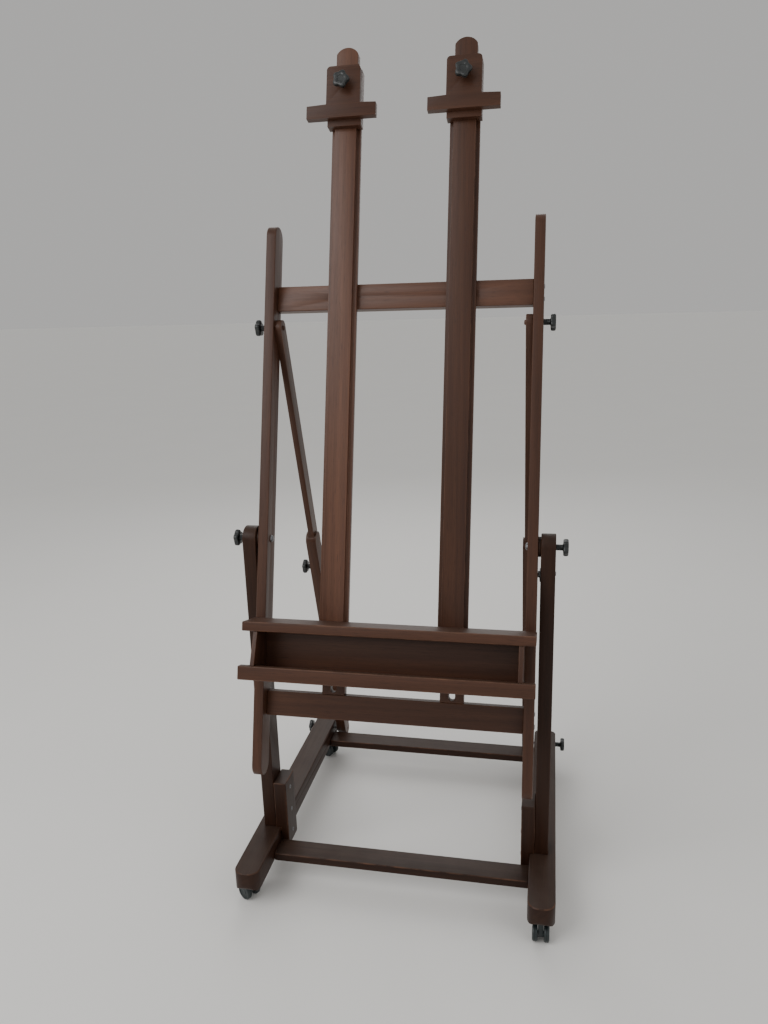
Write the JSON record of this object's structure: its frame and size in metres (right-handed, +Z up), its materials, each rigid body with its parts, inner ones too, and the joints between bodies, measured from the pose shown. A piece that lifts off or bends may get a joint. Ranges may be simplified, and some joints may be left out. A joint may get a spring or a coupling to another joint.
{
  "type": "h frame easel",
  "caption": "Wooden studio easel: caster base, tilting H-shaped frame with telescoping rear braces, sliding masts with canvas holders, and a sliding tray.",
  "frame": {"origin": "on the floor, under the middle of the base", "axes": "+Z up, -Y towards the painter at the front, +X to the painter's right"},
  "size_m": [0.7506, 0.71, 1.8351],
  "materials": {
    "walnut_stained_wood": "dark brown satin stain",
    "black_plastic": "black, slightly glossy",
    "dark_steel": "darkened steel"
  },
  "bodies": {
    "base": {"crossbar_front": "walnut_stained_wood", "crossbar_rear": "walnut_stained_wood", "runner_left": "walnut_stained_wood", "runner_right": "walnut_stained_wood", "post_left": "walnut_stained_wood", "post_right": "walnut_stained_wood", "block_left": "walnut_stained_wood", "block_right": "walnut_stained_wood", "pivot_bolt_left": "dark_steel", "pivot_bolt_right": "dark_steel", "spacer_left": "walnut_stained_wood", "spacer_right": "walnut_stained_wood", "stop_pin_left": "dark_steel", "stop_pin_right": "dark_steel"},
    "tilt_frame": {"upright_left": "walnut_stained_wood", "upright_right": "walnut_stained_wood", "top_crossbar": "walnut_stained_wood", "bottom_crossbar": "walnut_stained_wood", "rail_left": "walnut_stained_wood", "rail_right": "walnut_stained_wood"},
    "tray": {"tray_ledge": "walnut_stained_wood", "tray_lip": "walnut_stained_wood", "tray_back": "walnut_stained_wood", "tray_bottom": "walnut_stained_wood", "tray_end_left": "walnut_stained_wood", "tray_end_right": "walnut_stained_wood", "carriage_left": "walnut_stained_wood", "carriage_right": "walnut_stained_wood"},
    "mast_left": {"mast_left": "walnut_stained_wood"},
    "holder_left": {"holder_left": "walnut_stained_wood"},
    "lower_link_left": {"lower_link_left": "walnut_stained_wood"},
    "upper_link_left": {"upper_link_left": "walnut_stained_wood"},
    "pivot_knob_left": {"pivot_knob_left": "black_plastic"},
    "rear_knob_left": {"rear_knob_left": "black_plastic"},
    "upper_knob_left": {"upper_knob_left": "black_plastic"},
    "mast_knob_left": {"mast_knob_left": "black_plastic"},
    "holder_knob_left": {"holder_knob_left": "black_plastic"},
    "carriage_knob_left": {"carriage_knob_left": "black_plastic"},
    "mid_knob_left": {"mid_knob_left": "black_plastic"},
    "mast_right": {"mast_right": "walnut_stained_wood"},
    "holder_right": {"holder_right": "walnut_stained_wood"},
    "lower_link_right": {"lower_link_right": "walnut_stained_wood"},
    "upper_link_right": {"upper_link_right": "walnut_stained_wood"},
    "pivot_knob_right": {"pivot_knob_right": "black_plastic"},
    "rear_knob_right": {"rear_knob_right": "black_plastic"},
    "upper_knob_right": {"upper_knob_right": "black_plastic"},
    "mast_knob_right": {"mast_knob_right": "black_plastic"},
    "holder_knob_right": {"holder_knob_right": "black_plastic"},
    "carriage_knob_right": {"carriage_knob_right": "black_plastic"},
    "mid_knob_right": {"mid_knob_right": "black_plastic"},
    "caster_fork_front_left": {"caster_fork_front_left": "black_plastic"},
    "caster_wheel_front_left": {"caster_wheel_front_left": "black_plastic"},
    "caster_fork_front_right": {"caster_fork_front_right": "black_plastic"},
    "caster_wheel_front_right": {"caster_wheel_front_right": "black_plastic"},
    "caster_fork_rear_left": {"caster_fork_rear_left": "black_plastic"},
    "caster_wheel_rear_left": {"caster_wheel_rear_left": "black_plastic"},
    "caster_fork_rear_right": {"caster_fork_rear_right": "black_plastic"},
    "caster_wheel_rear_right": {"caster_wheel_rear_right": "black_plastic"}
  },
  "joints": [
    {"name": "frame_tilt", "type": "hinge", "parent": "base", "child": "tilt_frame", "pos_m": [0, -0.1573, 0.8143], "axis": [-1, 0, 0], "range_deg": [-4, 73.9]},
    {"name": "tray_slide", "type": "slide", "parent": "tilt_frame", "child": "tray", "axis": [0, 0.2773, 0.9608], "range_m": [-0.03, 0.5]},
    {"name": "mast_left_slide", "type": "slide", "parent": "tilt_frame", "child": "mast_left", "axis": [0, 0.2773, 0.9608], "range_m": [0, 0.4]},
    {"name": "holder_left_slide", "type": "slide", "parent": "mast_left", "child": "holder_left", "axis": [0, 0.2773, 0.9608], "range_m": [-0.33, 0.03]},
    {"name": "lower_link_left_hinge", "type": "hinge", "parent": "base", "child": "lower_link_left", "pos_m": [-0.271, 0.336, 0.07], "axis": [-1, 0, 0], "range_deg": [-1.2, 15]},
    {"name": "upper_link_left_slide", "type": "slide", "parent": "lower_link_left", "child": "upper_link_left", "axis": [0, -0.2938, 0.9559], "range_m": [-0.5, 0.03]},
    {"name": "pivot_knob_left_turn", "type": "hinge", "parent": "base", "child": "pivot_knob_left", "pos_m": [-0.345, -0.1573, 0.8143], "axis": [1, 0, 0], "continuous": true},
    {"name": "rear_knob_left_turn", "type": "hinge", "parent": "base", "child": "rear_knob_left", "pos_m": [-0.36, 0.336, 0.07], "axis": [1, 0, 0], "continuous": true},
    {"name": "upper_knob_left_turn", "type": "hinge", "parent": "tilt_frame", "child": "upper_knob_left", "pos_m": [-0.305, -0.02918, 1.25818], "axis": [1, 0, 0], "continuous": true},
    {"name": "mast_knob_left_turn", "type": "hinge", "parent": "tilt_frame", "child": "mast_knob_left", "pos_m": [-0.1275, 0.01728, 1.31097], "axis": [0, 0.9608, -0.2773], "continuous": true},
    {"name": "holder_knob_left_turn", "type": "hinge", "parent": "holder_left", "child": "holder_knob_left", "pos_m": [-0.1275, 0.05183, 1.75521], "axis": [0, 0.9608, -0.2773], "continuous": true},
    {"name": "carriage_knob_left_turn", "type": "hinge", "parent": "tray", "child": "carriage_knob_left", "pos_m": [-0.1275, -0.18542, 0.57262], "axis": [0, 0.9608, -0.2773], "continuous": true},
    {"name": "mid_knob_left_turn", "type": "hinge", "parent": "lower_link_left", "child": "mid_knob_left", "pos_m": [-0.29, 0.16061, 0.64066], "axis": [1, 0, 0], "continuous": true},
    {"name": "mast_right_slide", "type": "slide", "parent": "tilt_frame", "child": "mast_right", "axis": [0, 0.2773, 0.9608], "range_m": [0, 0.4]},
    {"name": "holder_right_slide", "type": "slide", "parent": "mast_right", "child": "holder_right", "axis": [0, 0.2773, 0.9608], "range_m": [-0.33, 0.03]},
    {"name": "lower_link_right_hinge", "type": "hinge", "parent": "base", "child": "lower_link_right", "pos_m": [0.271, 0.336, 0.07], "axis": [-1, 0, 0], "range_deg": [-1.2, 15]},
    {"name": "upper_link_right_slide", "type": "slide", "parent": "lower_link_right", "child": "upper_link_right", "axis": [0, -0.2938, 0.9559], "range_m": [-0.5, 0.03]},
    {"name": "pivot_knob_right_turn", "type": "hinge", "parent": "base", "child": "pivot_knob_right", "pos_m": [0.345, -0.1573, 0.8143], "axis": [1, 0, 0], "continuous": true},
    {"name": "rear_knob_right_turn", "type": "hinge", "parent": "base", "child": "rear_knob_right", "pos_m": [0.36, 0.336, 0.07], "axis": [1, 0, 0], "continuous": true},
    {"name": "upper_knob_right_turn", "type": "hinge", "parent": "tilt_frame", "child": "upper_knob_right", "pos_m": [0.305, -0.02918, 1.25818], "axis": [1, 0, 0], "continuous": true},
    {"name": "mast_knob_right_turn", "type": "hinge", "parent": "tilt_frame", "child": "mast_knob_right", "pos_m": [0.1275, 0.01728, 1.31097], "axis": [0, 0.9608, -0.2773], "continuous": true},
    {"name": "holder_knob_right_turn", "type": "hinge", "parent": "holder_right", "child": "holder_knob_right", "pos_m": [0.1275, 0.05183, 1.75521], "axis": [0, 0.9608, -0.2773], "continuous": true},
    {"name": "carriage_knob_right_turn", "type": "hinge", "parent": "tray", "child": "carriage_knob_right", "pos_m": [0.1275, -0.18542, 0.57262], "axis": [0, 0.9608, -0.2773], "continuous": true},
    {"name": "mid_knob_right_turn", "type": "hinge", "parent": "lower_link_right", "child": "mid_knob_right", "pos_m": [0.29, 0.16061, 0.64066], "axis": [1, 0, 0], "continuous": true},
    {"name": "caster_front_left_swivel", "type": "hinge", "parent": "base", "child": "caster_fork_front_left", "pos_m": [-0.321, -0.309, 0.05], "axis": [0, 0, 1], "continuous": true},
    {"name": "caster_front_left_spin", "type": "hinge", "parent": "caster_fork_front_left", "child": "caster_wheel_front_left", "pos_m": [-0.33486, -0.301, 0.019], "axis": [-0.5, -0.866, 0], "continuous": true},
    {"name": "caster_front_right_swivel", "type": "hinge", "parent": "base", "child": "caster_fork_front_right", "pos_m": [0.321, -0.309, 0.05], "axis": [0, 0, 1], "continuous": true},
    {"name": "caster_front_right_spin", "type": "hinge", "parent": "caster_fork_front_right", "child": "caster_wheel_front_right", "pos_m": [0.321, -0.325, 0.019], "axis": [1, 0, 0], "continuous": true},
    {"name": "caster_rear_left_swivel", "type": "hinge", "parent": "base", "child": "caster_fork_rear_left", "pos_m": [-0.321, 0.309, 0.05], "axis": [0, 0, 1], "continuous": true},
    {"name": "caster_rear_left_spin", "type": "hinge", "parent": "caster_fork_rear_left", "child": "caster_wheel_rear_left", "pos_m": [-0.3065, 0.30224, 0.019], "axis": [0.4226, 0.9063, 0], "continuous": true},
    {"name": "caster_rear_right_swivel", "type": "hinge", "parent": "base", "child": "caster_fork_rear_right", "pos_m": [0.321, 0.309, 0.05], "axis": [0, 0, 1], "continuous": true},
    {"name": "caster_rear_right_spin", "type": "hinge", "parent": "caster_fork_rear_right", "child": "caster_wheel_rear_right", "pos_m": [0.321, 0.293, 0.019], "axis": [1, 0, 0], "continuous": true}
  ],
  "couplings": [
    {"joint": "lower_link_left_hinge", "follows": "frame_tilt", "ratio": 0.1986},
    {"joint": "upper_link_left_slide", "follows": "frame_tilt", "m_per_rad": -0.38616},
    {"joint": "lower_link_right_hinge", "follows": "frame_tilt", "ratio": 0.1986},
    {"joint": "upper_link_right_slide", "follows": "frame_tilt", "m_per_rad": -0.38616}
  ]
}
